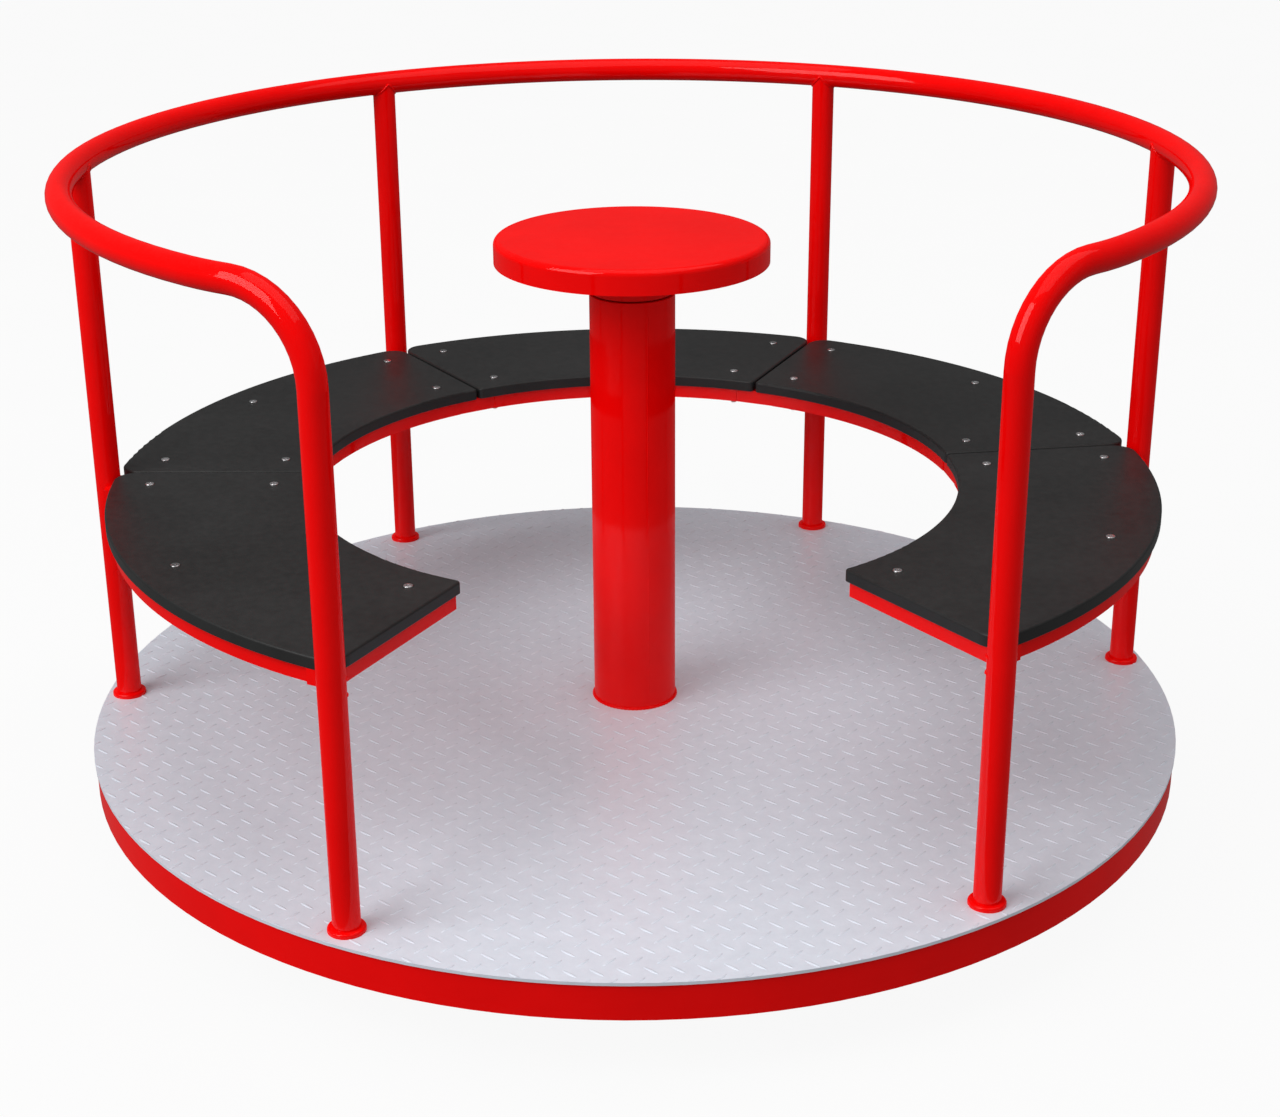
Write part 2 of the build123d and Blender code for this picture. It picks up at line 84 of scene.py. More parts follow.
def pickFaces(obj, test):
    # faces are picked by their centre and normal, with the mesh in edit mode before and after
    bpy.ops.object.mode_set(mode="OBJECT")
    for face in obj.data.polygons:
        face.select = bool(test(face.center, face.normal))
    for edge in obj.data.edges:
        edge.select = False
    for vertex in obj.data.vertices:
        vertex.select = False
    for face in obj.data.polygons:
        if face.select:
            for index in face.vertices:
                obj.data.vertices[index].select = True
    bpy.ops.object.mode_set(mode="EDIT")
    bpy.ops.mesh.select_mode(type="FACE")


def settle(obj):
    # the place goes into the mesh, and the object back to the origin
    pickOnly(obj)
    bpy.ops.object.transform_apply(location=True, rotation=True, scale=True)


def joinAll(objects, name):
    deselectAll()
    for obj in objects:
        obj.select_set(True)
    bpy.context.view_layer.objects.active = objects[0]
    if len(objects) > 1:
        bpy.ops.object.join()
    joined = bpy.context.object
    joined.name = name
    joined.data.name = name
    settle(joined)
    return joined


def copyTo(obj, place, turn=0):
    copy = obj.copy()
    copy.data = obj.data.copy()
    bpy.context.scene.collection.objects.link(copy)
    copy.location = place
    copy.rotation_euler = (0, 0, turn)
    return copy


def solidCentres(node, reach):
    # plan centres of the separate solids of one grouped node
    centres = []
    for vertex in frame["nodes"][node].data.vertices:
        point = vertex.co.to_2d()
        for group in centres:
            if (group[0] - point).length < reach:
                group.append(point.copy())
                break
        else:
            centres.append([point.copy()])
    found = []
    for group in centres:
        xs = [point.x for point in group]
        ys = [point.y for point in group]
        found.append(Vector(((min(xs) + max(xs)) / 2, (min(ys) + max(ys)) / 2)))
    return found


def dress(obj, material, body, smoothAngle=35):
    obj.data.materials.clear()
    obj.data.materials.append(material)
    pickOnly(obj)
    bpy.ops.object.shade_smooth_by_angle(angle=math.radians(smoothAngle))
    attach(obj, body)
    return obj


# shader groups

def newGroup(name, inputs, outputs):
    tree = bpy.data.node_groups.new(name, "ShaderNodeTree")
    for label, kind, value in inputs:
        socket = tree.interface.new_socket(label, in_out="INPUT", socket_type=kind)
        if value is not None:
            socket.default_value = value
    for label, kind in outputs:
        tree.interface.new_socket(label, in_out="OUTPUT", socket_type=kind)
    entry = tree.nodes.new("NodeGroupInput")
    way = tree.nodes.new("NodeGroupOutput")
    return tree, entry, way


def wire(tree, a, b):
    tree.links.new(a, b)


def mathNode(tree, operation, first, second=None, clamp=False):
    node = tree.nodes.new("ShaderNodeMath")
    node.operation = operation
    node.use_clamp = clamp
    for index, value in enumerate((first, second)):
        if value is None:
            continue
        if isinstance(value, (int, float)):
            node.inputs[index].default_value = value
        else:
            wire(tree, value, node.inputs[index])
    return node.outputs[0]


def mixColour(tree, factor, first, second):
    node = tree.nodes.new("ShaderNodeMix")
    node.data_type = "RGBA"
    for socket, value in ((node.inputs[0], factor), (node.inputs[6], first), (node.inputs[7], second)):
        if isinstance(value, (int, float, tuple)):
            socket.default_value = value
        else:
            wire(tree, value, socket)
    return node.outputs[2]


def noiseNode(tree, coords, scale, detail=3, roughness=0.5):
    node = tree.nodes.new("ShaderNodeTexNoise")
    node.inputs["Detail"].default_value = detail
    node.inputs["Roughness"].default_value = roughness
    wire(tree, coords, node.inputs["Vector"])
    if isinstance(scale, (int, float)):
        node.inputs["Scale"].default_value = scale
    else:
        wire(tree, scale, node.inputs["Scale"])
    return node.outputs["Fac"]


def ramp(tree, value, low, high):
    node = tree.nodes.new("ShaderNodeMapRange")
    wire(tree, value, node.inputs["Value"])
    node.inputs["From Min"].default_value = low
    node.inputs["From Max"].default_value = high
    return node.outputs["Result"]


def buildPeel():
    # the fine waviness of a sprayed or moulded surface, and slow cloudiness in its colour
    tree, entry, way = newGroup(
        "surfacePeel",
        [("Vector", "NodeSocketVector", None), ("Scale", "NodeSocketFloat", 300.0),
         ("Depth", "NodeSocketFloat", 0.1)],
        [("Height", "NodeSocketFloat"), ("Cloud", "NodeSocketFloat"), ("Normal", "NodeSocketVector")],
    )
    fine = noiseNode(tree, entry.outputs["Vector"], entry.outputs["Scale"], 2)
    cloud = noiseNode(tree, entry.outputs["Vector"], 6.0, 4, 0.6)
    bump = tree.nodes.new("ShaderNodeBump")
    bump.inputs["Distance"].default_value = 0.0004
    wire(tree, entry.outputs["Depth"], bump.inputs["Strength"])
    wire(tree, fine, bump.inputs["Height"])
    wire(tree, fine, way.inputs["Height"])
    wire(tree, cloud, way.inputs["Cloud"])
    wire(tree, bump.outputs["Normal"], way.inputs["Normal"])
    return tree


def buildScuff():
    # sparse thin scratches and rubbed patches
    tree, entry, way = newGroup(
        "scuffMarks",
        [("Vector", "NodeSocketVector", None), ("Scale", "NodeSocketFloat", 30.0),
         ("Amount", "NodeSocketFloat", 0.3)],
        [("Mask", "NodeSocketFloat"), ("Rub", "NodeSocketFloat")],
    )
    stretch = tree.nodes.new("ShaderNodeMapping")
    stretch.inputs["Rotation"].default_value = (0.4, 0.3, 0.7)
    stretch.inputs["Scale"].default_value = (1.0, 14.0, 9.0)
    wire(tree, entry.outputs["Vector"], stretch.inputs["Vector"])
    lines = noiseNode(tree, stretch.outputs["Vector"], entry.outputs["Scale"], 2)
    sharp = ramp(tree, lines, 0.69, 0.78)
    patches = noiseNode(tree, entry.outputs["Vector"], 9.0, 3)
    where = ramp(tree, patches, 0.48, 0.66)
    both = mathNode(tree, "MULTIPLY", sharp, where, True)
    wire(tree, mathNode(tree, "MULTIPLY", both, entry.outputs["Amount"], True), way.inputs["Mask"])
    wire(tree, mathNode(tree, "MULTIPLY", where, entry.outputs["Amount"], True), way.inputs["Rub"])
    return tree


def buildDust():
    # fine dust that settles on what faces up
    tree, entry, way = newGroup(
        "settledDust",
        [("Vector", "NodeSocketVector", None), ("Amount", "NodeSocketFloat", 0.05)],
        [("Mask", "NodeSocketFloat")],
    )
    geometry = tree.nodes.new("ShaderNodeNewGeometry")
    split = tree.nodes.new("ShaderNodeSeparateXYZ")
    wire(tree, geometry.outputs["Normal"], split.inputs["Vector"])
    up = ramp(tree, split.outputs["Z"], 0.5, 1.0)
    specks = noiseNode(tree, entry.outputs["Vector"], 90.0, 4, 0.7)
    drift = ramp(tree, specks, 0.35, 0.75)
    both = mathNode(tree, "MULTIPLY", up, drift, True)
    wire(tree, mathNode(tree, "MULTIPLY", both, entry.outputs["Amount"], True), way.inputs["Mask"])
    return tree


peelGroup = buildPeel()
scuffGroup = buildScuff()
dustGroup = buildDust()


def placeGroup(tree, group, coords, **values):
    node = tree.nodes.new("ShaderNodeGroup")
    node.node_tree = group
    wire(tree, coords, node.inputs["Vector"])
    for label, value in values.items():
        node.inputs[label].default_value = value
    return node


def newMaterial(name):
    material = bpy.data.materials.new(name)
    material.use_nodes = True
    tree = material.node_tree
    shader = tree.nodes["Principled BSDF"] if "Principled BSDF" in tree.nodes else None
    if shader is None:
        shader = tree.nodes.new("ShaderNodeBsdfPrincipled")
        out = tree.nodes.new("ShaderNodeOutputMaterial")
        wire(tree, shader.outputs[0], out.inputs["Surface"])
    coords = tree.nodes.new("ShaderNodeTexCoord").outputs["Object"]
    return material, tree, shader, coords


def paintedRed():
    look = {"deep": (0.84, 0.0005, 0.0005, 1), "bright": (0.92, 0.001, 0.001, 1),
            "scuff": (0.45, 0.02, 0.02, 1), "dust": (0.80, 0.30, 0.27, 1),
            "peel": 240.0, "depth": 0.06, "scratch": 26.0, "worn": 0.10, "dusty": 0.012,
            "rough": 0.26, "rubbed": 0.35, "coat": 0.38, "coatRough": 0.07}
    material, tree, shader, coords = newMaterial("powderCoatRed")
    peel = placeGroup(tree, peelGroup, coords, Scale=look["peel"], Depth=look["depth"])
    scuff = placeGroup(tree, scuffGroup, coords, Scale=look["scratch"], Amount=look["worn"])
    dust = placeGroup(tree, dustGroup, coords, Amount=look["dusty"])
    cloud = ramp(tree, peel.outputs["Cloud"], 0.35, 0.65)
    colour = mixColour(tree, cloud, look["deep"], look["bright"])
    colour = mixColour(tree, scuff.outputs["Mask"], colour, look["scuff"])
    colour = mixColour(tree, dust.outputs["Mask"], colour, look["dust"])
    wire(tree, colour, shader.inputs["Base Color"])
    rough = mathNode(tree, "MULTIPLY", scuff.outputs["Rub"], look["rubbed"])
    rough = mathNode(tree, "ADD", rough, look["rough"], True)
    wire(tree, rough, shader.inputs["Roughness"])
    wire(tree, peel.outputs["Normal"], shader.inputs["Normal"])
    shader.inputs["Specular IOR Level"].default_value = 0
    shader.inputs["Coat Weight"].default_value = look["coat"]
    shader.inputs["Coat Roughness"].default_value = look["coatRough"]
    return material


def treadMetal():
    look = {"base": (0.67, 0.72, 0.80, 1), "pale": (0.72, 0.77, 0.85, 1), "rub": (0.82, 0.86, 0.92, 1),
            "grain": (160, 12, 160), "mottle": 46.0, "scratch": 60.0, "worn": 0.5,
            "rough": 0.30, "mottled": 0.22, "bump": 0.25, "bumpDepth": 0.0003, "metal": 0.10}
    material, tree, shader, coords = newMaterial("treadPlateMetal")
    grain = tree.nodes.new("ShaderNodeMapping")     # rolled along Y
    grain.inputs["Scale"].default_value = look["grain"]
    wire(tree, coords, grain.inputs["Vector"])
    rolled = noiseNode(tree, grain.outputs["Vector"], 1.0, 3)
    mottle = noiseNode(tree, coords, look["mottle"], 5, 0.72)
    scuff = placeGroup(tree, scuffGroup, coords, Scale=look["scratch"], Amount=look["worn"])
    colour = mixColour(tree, ramp(tree, mottle, 0.32, 0.68), look["base"], look["pale"])
    colour = mixColour(tree, scuff.outputs["Mask"], colour, look["rub"])
    wire(tree, colour, shader.inputs["Base Color"])
    rough = mathNode(tree, "MULTIPLY", mottle, look["mottled"])
    wire(tree, mathNode(tree, "ADD", rough, look["rough"], True), shader.inputs["Roughness"])
    bump = tree.nodes.new("ShaderNodeBump")
    bump.inputs["Strength"].default_value = look["bump"]
    bump.inputs["Distance"].default_value = look["bumpDepth"]
    wire(tree, mathNode(tree, "ADD", mottle, rolled), bump.inputs["Height"])
    wire(tree, bump.outputs["Normal"], shader.inputs["Normal"])
    shader.inputs["Metallic"].default_value = look["metal"]
    return material


def seatBoard():
    look = {"black": (0.014, 0.0145, 0.0145, 1), "grey": (0.021, 0.0215, 0.0215, 1),
            "scuff": (0.06, 0.06, 0.062, 1), "dust": (0.16, 0.155, 0.15, 1),
            "peel": 900.0, "depth": 0.35, "scratch": 34.0, "worn": 0.45, "dusty": 0.07,
            "rough": 0.32, "clouded": 0.2, "specular": 0.28}
    material, tree, shader, coords = newMaterial("seatBoardBlack")
    peel = placeGroup(tree, peelGroup, coords, Scale=look["peel"], Depth=look["depth"])
    scuff = placeGroup(tree, scuffGroup, coords, Scale=look["scratch"], Amount=look["worn"])
    dust = placeGroup(tree, dustGroup, coords, Amount=look["dusty"])
    colour = mixColour(tree, ramp(tree, peel.outputs["Cloud"], 0.35, 0.65), look["black"], look["grey"])
    colour = mixColour(tree, scuff.outputs["Mask"], colour, look["scuff"])
    colour = mixColour(tree, dust.outputs["Mask"], colour, look["dust"])
    wire(tree, colour, shader.inputs["Base Color"])
    rough = mathNode(tree, "MULTIPLY", peel.outputs["Cloud"], look["clouded"])
    wire(tree, mathNode(tree, "ADD", rough, look["rough"], True), shader.inputs["Roughness"])
    wire(tree, peel.outputs["Normal"], shader.inputs["Normal"])
    shader.inputs["Specular IOR Level"].default_value = look["specular"]
    return material


def plainMetal(name, dark, light, roughLow, grainScale, metallic=1.0, spangle=0.0):
    material, tree, shader, coords = newMaterial(name)
    peel = placeGroup(tree, peelGroup, coords, Scale=grainScale, Depth=0.12)
    scuff = placeGroup(tree, scuffGroup, coords, Scale=80.0, Amount=0.4)
    tone = ramp(tree, peel.outputs["Cloud"], 0.35, 0.65)
    if spangle:
        cells = tree.nodes.new("ShaderNodeTexVoronoi")   # zinc crystals
        cells.inputs["Scale"].default_value = spangle
        wire(tree, coords, cells.inputs["Vector"])
        split = tree.nodes.new("ShaderNodeSeparateColor")
        wire(tree, cells.outputs["Color"], split.inputs[0])
        tone = split.outputs[0]
    colour = mixColour(tree, tone, dark, light)
    colour = mixColour(tree, scuff.outputs["Mask"], colour, light)
    wire(tree, colour, shader.inputs["Base Color"])
    rough = mathNode(tree, "MULTIPLY", tone, 0.15)
    wire(tree, mathNode(tree, "ADD", rough, roughLow, True), shader.inputs["Roughness"])
    wire(tree, peel.outputs["Normal"], shader.inputs["Normal"])
    shader.inputs["Metallic"].default_value = metallic
    return material


paints = {
    "red_paint": paintedRed(),
    "tread_plate": treadMetal(),
    "seat_board": seatBoard(),
    "stainless": plainMetal("stainlessBright", (0.70, 0.70, 0.71, 1), (0.92, 0.92, 0.93, 1), 0.22, 700.0),
    "bearing_steel": plainMetal("bearingGround", (0.50, 0.50, 0.52, 1), (0.70, 0.70, 0.72, 1), 0.18, 900.0),
    "seal_rubber": plainMetal("sealBlack", (0.012, 0.012, 0.012, 1), (0.03, 0.03, 0.03, 1), 0.55, 600.0,
                              0.0),
    "galvanised_steel": plainMetal("zincDipped", (0.36, 0.38, 0.41, 1), (0.56, 0.58, 0.60, 1), 0.38, 400.0,
                                   1.0, 70.0),
}
slotOf = {part["node"]: part["material_slot"] for part in frame["record"]["subparts"]}
for nodeName, obj in frame["nodes"].items():
    paint = paints[slotOf[nodeName]]
    if not obj.material_slots:
        obj.data.materials.append(paint)
    for place in obj.material_slots:
        place.material = paint
print("materials made:", len(paints))

# raised bars of the tread plate
tread = {"length": 0.0225, "width": 0.0042, "height": 0.0009, "stepX": 0.0303, "stepY": 0.0426,
         "sides": 8, "rings": 6, "sectors": 120, "margin": 0.0008,
         "spare": 3, "columnGap": 0.0005}


def barRow(name, turn, shiftX, shiftY):
    # one lens-shaped bar, copied over the plate, with what lies past the edges taken off
    countX = int(deckRadius * 2 / tread["stepX"]) + tread["spare"]
    countY = int(deckRadius * 2 / tread["stepY"]) + tread["spare"]
    startX = -(countX - 1) / 2 * tread["stepX"] + shiftX
    startY = -(countY - 1) / 2 * tread["stepY"] + shiftY
    deselectAll()
    bpy.ops.mesh.primitive_uv_sphere_add(segments=tread["sides"], ring_count=tread["rings"], radius=1,
                                         location=(startX, startY, deckTop), rotation=(0, math.pi / 2, 0))
    bar = bpy.context.object
    bpy.ops.object.transform_apply(location=False, rotation=True, scale=False)
    bar.scale = (tread["length"] / 2, tread["width"] / 2, tread["height"])
    bpy.ops.object.transform_apply(location=False, rotation=False, scale=True)
    bar.rotation_euler = (0, 0, turn)
    settle(bar)
    editFresh(bar)
    bpy.ops.mesh.select_all(action="SELECT")
    bpy.ops.mesh.bisect(plane_co=(0, 0, deckTop), plane_no=(0, 0, 1), clear_inner=True, use_fill=True)
    bpy.ops.object.mode_set(mode="OBJECT")
    perBar = len(bar.data.vertices)
    for step, count in (((tread["stepX"], 0, 0), countX), ((0, tread["stepY"], 0), countY)):
        rows = bar.modifiers.new("rows", "ARRAY")
        rows.use_relative_offset = False
        rows.use_constant_offset = True
        rows.constant_offset_displace = step
        rows.count = count
        bpy.ops.object.modifier_apply(modifier=rows.name)
    points = np.zeros(len(bar.data.vertices) * 3)
    bar.data.vertices.foreach_get("co", points)
    plan = points.reshape(-1, perBar, 3)[:, :, :2]
    reach = np.hypot(plan[:, :, 0], plan[:, :, 1])
    edge = deckRadius - tread["margin"]
    gone = (reach.min(axis=1) > edge) | (reach.min(axis=1) < columnRadius + tread["columnGap"])
    crossing = (reach.max(axis=1) > edge) & ~gone
    middle = plan.mean(axis=1)
    turned = (np.arctan2(middle[:, 1], middle[:, 0]) / (2 * math.pi)) % 1
    sector = np.floor(turned * tread["sectors"]).astype(int)
    sector[~crossing] = -1
    keep = bar.data.attributes.new("sector", "INT", "POINT")
    keep.data.foreach_set("value", np.repeat(sector, perBar).astype(np.int32))
    editFresh(bar)
    bpy.ops.object.mode_set(mode="OBJECT")
    bar.data.vertices.foreach_set("select", np.repeat(gone, perBar))
    bpy.ops.object.mode_set(mode="EDIT")
    bpy.ops.mesh.select_mode(type="VERT")
    bpy.ops.mesh.delete(type="VERT")
    bpy.ops.object.mode_set(mode="OBJECT")
    bar.name = name
    return bar


def trimAtEdge(bars):
    # the bars that cross the plate's edge are cut off along it, one sector after another
    edge = deckRadius - tread["margin"]
    editFresh(bars)
    bpy.ops.object.mode_set(mode="OBJECT")
    sectors = np.zeros(len(bars.data.vertices), np.int32)
    bars.data.attributes["sector"].data.foreach_get("value", sectors)
    bars.data.vertices.foreach_set("select", sectors >= 0)
    bpy.ops.object.mode_set(mode="EDIT")
    bpy.ops.mesh.select_mode(type="VERT")
    bpy.ops.mesh.separate(type="SELECTED")
    bpy.ops.object.mode_set(mode="OBJECT")
    rest = [obj for obj in bpy.context.selected_objects if obj != bars][0]
    for index in range(tread["sectors"]):
        sectors = np.zeros(len(rest.data.vertices), np.int32)
        rest.data.attributes["sector"].data.foreach_get("value", sectors)
        if not (sectors == index).any():
            continue
        editFresh(rest)
        bpy.ops.object.mode_set(mode="OBJECT")
        rest.data.vertices.foreach_set("select", sectors == index)
        bpy.ops.object.mode_set(mode="EDIT")
        bpy.ops.mesh.select_mode(type="VERT")
        angle = (index + 0.5) / tread["sectors"] * 2 * math.pi
        outward = Vector((math.cos(angle), math.sin(angle), 0))
        bpy.ops.mesh.bisect(plane_co=outward * edge, plane_no=outward, clear_outer=True, use_fill=True)
        bpy.ops.object.mode_set(mode="OBJECT")
    whole = joinAll([bars, rest], bars.name)
    whole.data.attributes.remove(whole.data.attributes["sector"])
    return whole


for rowName, turn, shiftX, shiftY in (
    ("treadBarsRight", math.pi / 4, 0, 0),
    ("treadBarsLeft", -math.pi / 4, tread["stepX"] / 2, tread["stepY"] / 2),
):
    bars = trimAtEdge(barRow(rowName, turn, shiftX, shiftY))
    dress(bars, paints["tread_plate"], "platform", 50)
    print("tread bars:", rowName, len(bars.data.polygons), "faces")

# welds
weld = {"arm": 0.00154, "saddle": 0.0018, "column": 0.0026, "ripple": 0.13, "spacing": 0.0026 / 1.5,
        "fewest": 16, "taper": 4, "tip": 0.25, "lift": 0.0006, "armSpan": 1.25, "near": 0.05}


def layBead(points, thickness, closed):
    # a rippled bead along a line, tapered at its ends where it is open
    line = bpy.data.curves.new("bead", "CURVE")
    line.dimensions = "3D"
    line.bevel_depth = thickness
    line.bevel_resolution = 2
    line.use_fill_caps = not closed
    spline = line.splines.new("POLY")
    spline.points.add(len(points) - 1)
    spline.use_cyclic_u = closed
    for index, point in enumerate(points):
        spline.points[index].co = (*point, 1)
        fromEnd = 1 if closed else min(1, min(index, len(points) - 1 - index) / weld["taper"] + weld["tip"])
        spline.points[index].radius = (1 + weld["ripple"] * (1 if index % 3 else -1)) * fromEnd
    bead = bpy.data.objects.new("bead", line)
    bpy.context.scene.collection.objects.link(bead)
    pickOnly(bead)
    bpy.ops.object.convert(target="MESH")
    return bpy.context.object


def ringPoints(centre, radius, start=0, end=2 * math.pi, height=None):
    count = max(weld["fewest"], int(radius * (end - start) / weld["spacing"]))
    closed = end - start == 2 * math.pi
    steps = count if closed else count - 1
    points = []
    for index in range(count):
        angle = start + (end - start) * index / steps
        x = centre.x + radius * math.cos(angle)
        y = centre.y + radius * math.sin(angle)
        points.append((x, y, height(x, y) if callable(height) else height))
    return points, closed


def saddleHeight(x, y):
    # where a post of the rail's own diameter meets its underside
    across = abs(math.hypot(x, y) - railRadius)
    return railLevel - math.sqrt(max(0, tubeRadius ** 2 - across ** 2))


footPlaces = solidCentres("foot_collars", weld["near"])
postPlaces = []
for side in ("right", "back_right", "back_left", "left"):
    low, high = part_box("post_" + side)
    postPlaces.append(Vector(((low.x + high.x) / 2, (low.y + high.y) / 2)))

beads = []
points, closed = ringPoints(Vector((0, 0)), columnRadius, height=deckTop + weld["lift"])
beads.append(layBead(points, weld["column"], closed))
for place in postPlaces:
    points, closed = ringPoints(place, tubeRadius, height=saddleHeight)
    beads.append(layBead(points, weld["saddle"], closed))
for place in footPlaces:
    inward = math.atan2(-place.y, -place.x)
    for level in (panelLow.z, barLow.z):
        start = inward - weld["armSpan"]
        points, closed = ringPoints(place, tubeRadius, start, inward + weld["armSpan"], level)
        beads.append(layBead(points, weld["arm"], closed))
dress(joinAll(beads, "paintedWelds"), paints["red_paint"], "platform", 60)
print("welds:", len(beads))

# seam of the column, a fine line left where the tube was welded along its length
seam = {"angle": -1.28, "thick": 0.0007, "proud": 0.0003, "points": 90, "inset": 0.003}
seamReach = columnRadius + seam["proud"] - seam["thick"]
seamStart = deckTop + seam["inset"]
seamRise = (columnHigh.z - seam["inset"] - seamStart) / (seam["points"] - 1)
seamX = seamReach * math.cos(seam["angle"])
seamY = seamReach * math.sin(seam["angle"])
points = [(seamX, seamY, seamStart + seamRise * index) for index in range(seam["points"])]
seamPiece = joinAll([layBead(points, seam["thick"], False)], "columnSeam")
dress(seamPiece, paints["red_paint"], "platform", 60)
print("column seam made")

# screws and nuts of the seats
screw = {"head": 0.006, "headDepth": 0.0025, "proud": 0.0012, "shank": 0.004, "lobe": 0.003444,
         "waist": 0.0016, "recess": 0.0016, "pitch": 0.00125, "threads": 9, "length": 0.050,
         "edge": 0.0009, "ring": 0.0013, "groove": 0.86, "lobeHalf": 16, "lap": 0.0002,
         "near": 0.02, "turn": 0.37}
nut = {"across": 0.013, "edge": 0.0007, "ring": 0.0012, "recess": 0.0006, "turn": 0.21}


def makeScrew():
    deselectAll()
    top = panelHigh.z
    bpy.ops.mesh.primitive_cylinder_add(vertices=24, radius=screw["head"],
                                        depth=screw["headDepth"] + screw["proud"],
                                        location=(0, 0, top - screw["headDepth"] / 2 + screw["proud"] / 2))
    head = bpy.context.object
    settle(head)
    editFresh(head)
    crown = top + screw["proud"]
    pickFaces(head, lambda centre, normal: normal.z > 0.9)
    bpy.ops.mesh.bevel(offset=screw["edge"], segments=3, affect="EDGES")
    pickFaces(head, lambda centre, normal: normal.z > 0.99 and centre.z > crown - tiny)
    bpy.ops.mesh.inset(thickness=screw["ring"])
    bpy.ops.object.mode_set(mode="OBJECT")
    centreFace = min((f for f in head.data.polygons if f.normal.z > 0.99 and f.center.z > crown - tiny),
                     key=lambda f: f.center.to_2d().length)
    for index in centreFace.vertices:
        vertex = head.data.vertices[index]
        angle = math.degrees(math.atan2(vertex.co.y, vertex.co.x)) % 90
        far = min(angle, 90 - angle) < screw["lobeHalf"]
        reach = screw["lobe"] if far else screw["waist"]
        flat = vertex.co.to_2d().normalized() * reach
        vertex.co.x, vertex.co.y = flat.x, flat.y
    target = centreFace.center.copy()
    bpy.ops.object.mode_set(mode="EDIT")
    pickFaces(head, lambda centre, normal: (centre - target).length < 0.0002 and normal.z > 0.99)
    bpy.ops.mesh.extrude_region_move(TRANSFORM_OT_translate={"value": (0, 0, -screw["recess"])})
    bpy.ops.object.mode_set(mode="OBJECT")
    # shank, with ridges at its lower end
    deselectAll()
    bottom = top - screw["length"]
    threadTop = bottom + screw["threads"] * screw["pitch"]
    plainBottom = top - screw["headDepth"] + screw["lap"]
    bpy.ops.mesh.primitive_cylinder_add(vertices=16, radius=screw["shank"], depth=plainBottom - threadTop,
                                        location=(0, 0, (plainBottom + threadTop) / 2))
    shank = bpy.context.object
    settle(shank)
    editFresh(shank)
    pickFaces(shank, lambda centre, normal: normal.z < -0.9)
    for index in range(screw["threads"] * 2):
        bpy.ops.mesh.extrude_region_move(TRANSFORM_OT_translate={"value": (0, 0, -screw["pitch"] / 2)})
        size = screw["groove"] if index % 2 == 0 else 1 / screw["groove"]
        bpy.ops.transform.resize(value=(size, size, 1))
    bpy.ops.object.mode_set(mode="OBJECT")
    return joinAll([head, shank], "screw")


def makeNut():
    deselectAll()
    low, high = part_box("seat_nuts")
    height = high.z - low.z
    corner = nut["across"] / 2 / math.cos(math.pi / 6)
    bpy.ops.mesh.primitive_cylinder_add(vertices=6, radius=corner, depth=height,
                                        location=(0, 0, (low.z + high.z) / 2))
    body = bpy.context.object
    settle(body)
    editFresh(body)
    bpy.ops.mesh.select_all(action="SELECT")
    bpy.ops.mesh.bevel(offset=nut["edge"], segments=2, affect="EDGES")
    pickFaces(body, lambda centre, normal: normal.z < -0.99)
    bpy.ops.mesh.inset(thickness=nut["ring"])
    bpy.ops.mesh.extrude_region_move(TRANSFORM_OT_translate={"value": (0, 0, nut["recess"])})
    bpy.ops.object.mode_set(mode="OBJECT")
    return body


screwPlaces = solidCentres("seat_screws", screw["near"])
for maker, pieceName, node, stepTurn in ((makeScrew, "seatScrews", "seat_screws", screw["turn"]),
                                         (makeNut, "seatNuts", "seat_nuts", nut["turn"])):
    pattern = maker()
    copies = [copyTo(pattern, (place.x, place.y, 0), stepTurn * number)
              for number, place in enumerate(screwPlaces)]
    bpy.data.objects.remove(pattern)
    piece = dress(joinAll(copies, pieceName), paints["stainless"], "platform", 40)
    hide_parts(node)
    print(pieceName, len(copies))

# floor, light and camera
studio = {"floor": 60, "drop": 0.0005, "dark": (0.03, 0.03, 0.03, 1), "light": (0.04, 0.04, 0.04, 1),
          "speckle": 3.0, "rough": 0.9, "specular": 0.1, "seen": 0.93, "cast": 0.14,
          "sky": 0.56, "mirrored": 0.15}
lamps = (
    {"name": "keyLight", "place": (-3.4, -2.2, 3.4), "aim": (0, 0, 0.4), "size": 3.4, "power": 160},
    {"name": "fillLight", "place": (3.6, -2.6, 2.0), "aim": (0, 0, 0.5), "size": 2.0, "power": 1},
    {"name": "topLight", "place": (0.5, -0.3, 4.2), "aim": (0, 0, 0.3), "size": 4.2, "power": 50},
)


def addLamp(lamp):
    deselectAll()
    bpy.ops.object.light_add(type="AREA", location=lamp["place"])
    light = bpy.context.object
    light.name = lamp["name"]
    light.data.size = lamp["size"]
    light.data.energy = lamp["power"]
    light.rotation_mode = "QUATERNION"
    light.rotation_quaternion = (Vector(lamp["aim"]) - Vector(lamp["place"])).to_track_quat("-Z", "Y")


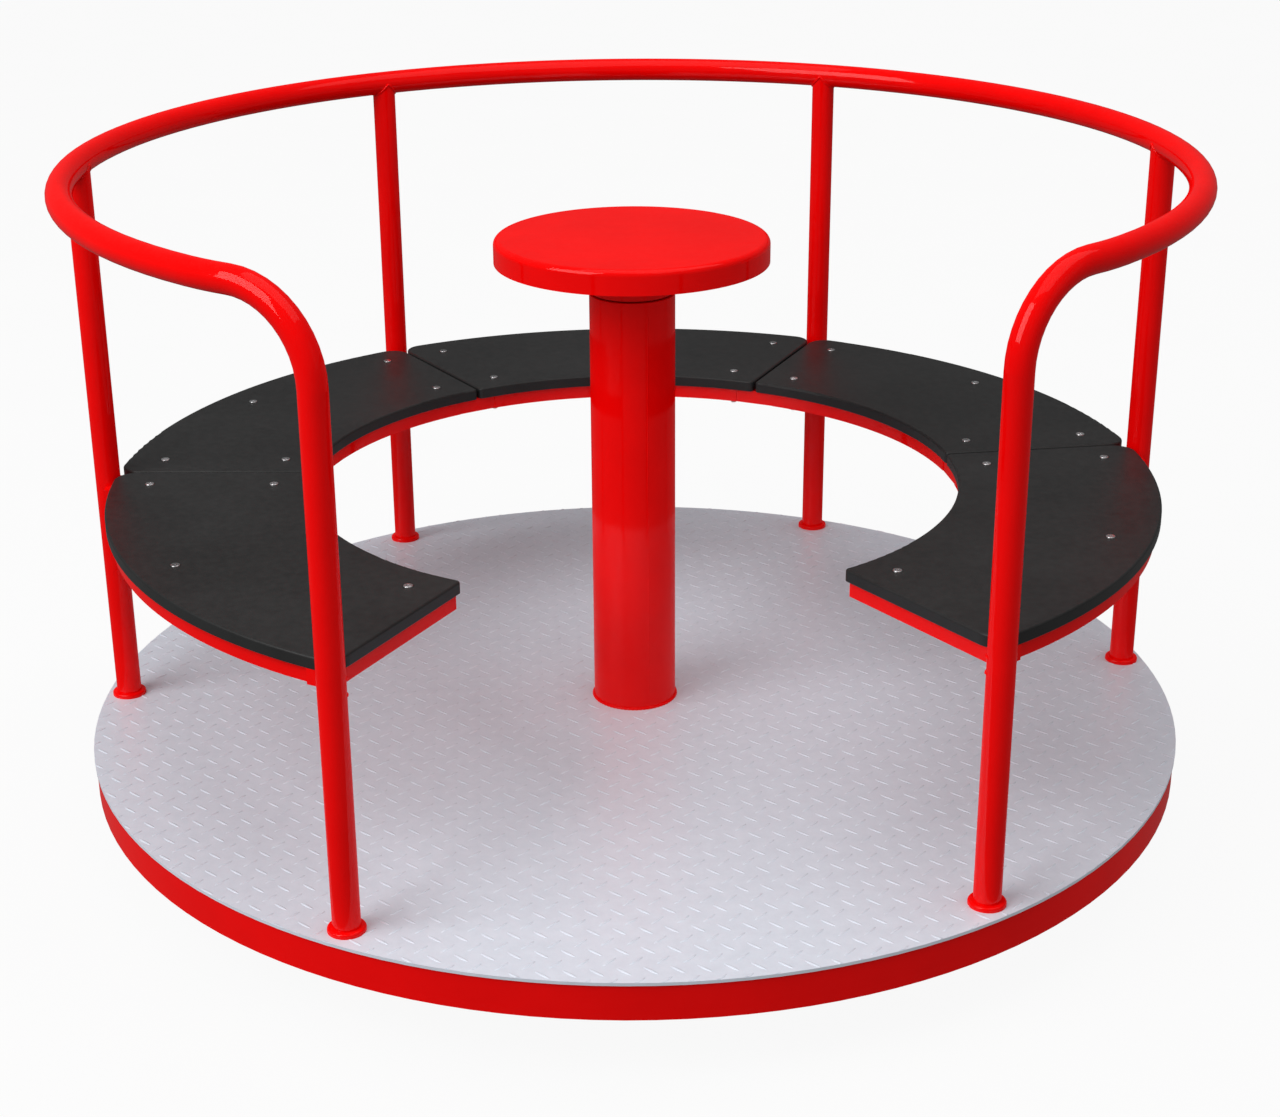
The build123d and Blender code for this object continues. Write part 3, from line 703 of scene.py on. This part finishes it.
deselectAll()
bpy.ops.mesh.primitive_plane_add(size=studio["floor"], location=(0, 0, -studio["drop"]))
floor = bpy.context.object
floor.name = "studioFloor"
floorPaint, floorTree, floorShader, floorCoords = newMaterial("floorPale")
speckle = noiseNode(floorTree, floorCoords, studio["speckle"], 2)
floorColour = mixColour(floorTree, speckle, studio["dark"], studio["light"])
wire(floorTree, floorColour, floorShader.inputs["Base Color"])
floorShader.inputs["Roughness"].default_value = studio["rough"]
floorShader.inputs["Specular IOR Level"].default_value = studio["specular"]
floorShader.inputs["Emission Color"].default_value = (1, 1, 1, 1)
# the floor looks evenly pale, and throws little light up at the paint
rays = floorTree.nodes.new("ShaderNodeLightPath")
glow = mathNode(floorTree, "MULTIPLY", rays.outputs["Is Camera Ray"], studio["seen"] - studio["cast"])
wire(floorTree, mathNode(floorTree, "ADD", glow, studio["cast"]), floorShader.inputs["Emission Strength"])
floor.data.materials.append(floorPaint)

for lamp in lamps:
    addLamp(lamp)
world = bpy.data.worlds.new("studioSky")
world.use_nodes = True
sky = world.node_tree.nodes.get("Background")
if sky is None:
    sky = world.node_tree.nodes.new("ShaderNodeBackground")
    out = world.node_tree.nodes.new("ShaderNodeOutputWorld")
    world.node_tree.links.new(sky.outputs[0], out.inputs["Surface"])
sky.inputs["Color"].default_value = (1, 1, 1, 1)
# what shines sees a darker sky than what is matt, so the paint stays deep beside its highlights,
# and the camera sees it as pale as the floor
skyTree = world.node_tree
skyRays = skyTree.nodes.new("ShaderNodeLightPath")
dim = mathNode(skyTree, "MULTIPLY", skyRays.outputs["Is Glossy Ray"], studio["mirrored"] - studio["sky"])
behind = mathNode(skyTree, "MULTIPLY", skyRays.outputs["Is Camera Ray"], studio["seen"] - studio["sky"])
dim = mathNode(skyTree, "ADD", dim, behind)
wire(skyTree, mathNode(skyTree, "ADD", dim, studio["sky"]), sky.inputs["Strength"])
bpy.context.scene.world = world
bpy.context.scene.view_settings.view_transform = "Standard"

view = {"place": (-0.1805, -2.8319, 1.4765), "aim": (0.0084, 0, 0.3345), "roll": -0.337, "lens": 62.008,
        "sensor": 36}
deselectAll()
bpy.ops.object.camera_add(location=view["place"])
camera = bpy.context.object
camera.data.lens = view["lens"]
camera.data.sensor_width = view["sensor"]
camera.data.sensor_fit = "HORIZONTAL"
camera.rotation_mode = "QUATERNION"
facing = (Vector(view["aim"]) - Vector(view["place"])).to_track_quat("-Z", "Y")
camera.rotation_quaternion = facing @ Quaternion((0, 0, 1), math.radians(view["roll"]))
bpy.context.scene.camera = camera
deselectAll()
